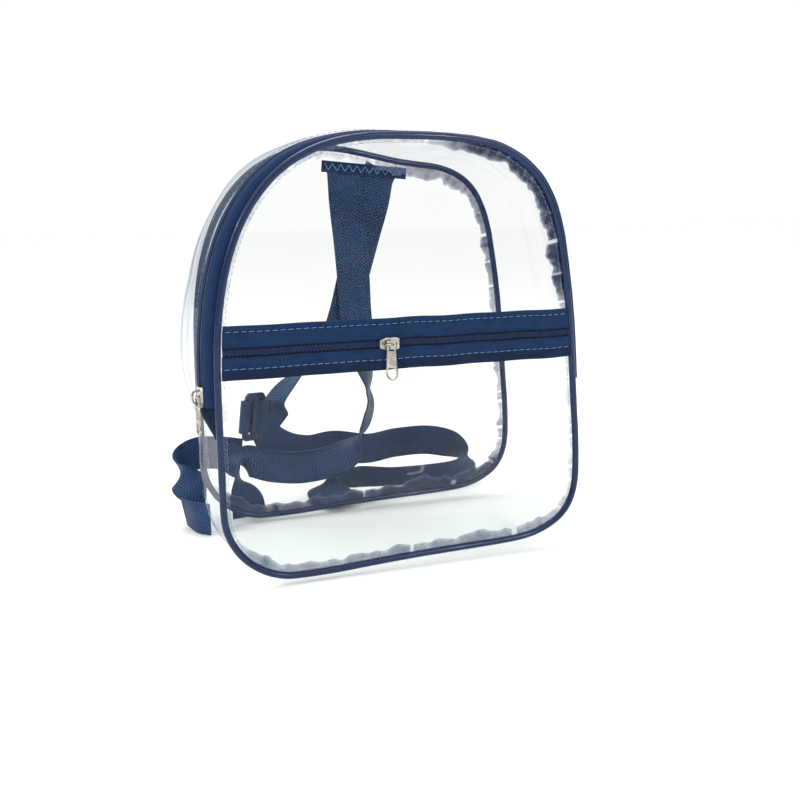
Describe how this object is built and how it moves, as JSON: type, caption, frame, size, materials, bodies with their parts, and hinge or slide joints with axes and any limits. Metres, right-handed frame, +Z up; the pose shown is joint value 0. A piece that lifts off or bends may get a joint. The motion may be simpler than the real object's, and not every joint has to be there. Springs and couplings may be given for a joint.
{
  "type": "clear stadium backpack",
  "caption": "Small clear PVC backpack with navy piping, a main zip round the arch, a zipped front pocket and webbing shoulder straps",
  "frame": {"origin": "middle of the flat base, on the surface the bag stands on", "axes": "X across the bag with the main zip's slider at -X, Y from front to back, Z up"},
  "size_m": [0.2993, 0.2053, 0.3089],
  "materials": {
    "clear_vinyl": "clear flexible PVC sheet, glossy, lightly creased",
    "navy_piping": "navy vinyl bound over cord, soft sheen",
    "navy_cloth": "navy coated polyester, fine weave",
    "zip_coil": "dark nylon coil",
    "nickel": "nickel-plated zinc, worn bright",
    "webbing": "navy polypropylene webbing, coarse twill",
    "dark_plastic": "moulded acetal, dark navy"
  },
  "bodies": {
    "bag": {"front_panel": "clear_vinyl", "back_panel": "clear_vinyl", "side_wall": "clear_vinyl", "pocket_panel": "clear_vinyl", "front_piping": "navy_piping", "back_piping": "navy_piping", "pocket_band_upper": "navy_cloth", "pocket_band_lower": "navy_cloth", "main_tape_front": "navy_cloth", "main_tape_rear": "navy_cloth", "zip_end_left": "navy_cloth", "zip_end_right": "navy_cloth", "pocket_coil": "zip_coil", "main_coil": "zip_coil", "pocket_slider": "nickel", "main_slider": "nickel", "shoulder_strap_left": "webbing", "shoulder_strap_right": "webbing", "corner_ring_left": "webbing", "corner_tab_left": "webbing", "top_anchor": "webbing", "adjuster_left": "dark_plastic"},
    "pocket_pull_body": {"pocket_pull": "nickel"},
    "main_pull_body": {"main_pull": "nickel"}
  },
  "joints": [
    {"name": "pocket_pull_swing", "type": "hinge", "parent": "bag", "child": "pocket_pull_body", "pos_m": [-0.01635, -0.0747, 0.1666], "axis": [-1, 0, 0], "range_deg": [0, 170]},
    {"name": "main_pull_swing", "type": "hinge", "parent": "bag", "child": "main_pull_body", "pos_m": [-0.14601, -0.05358, 0.1361], "axis": [-0.1559, 0.9878, 0], "range_deg": [0, 170]}
  ]
}
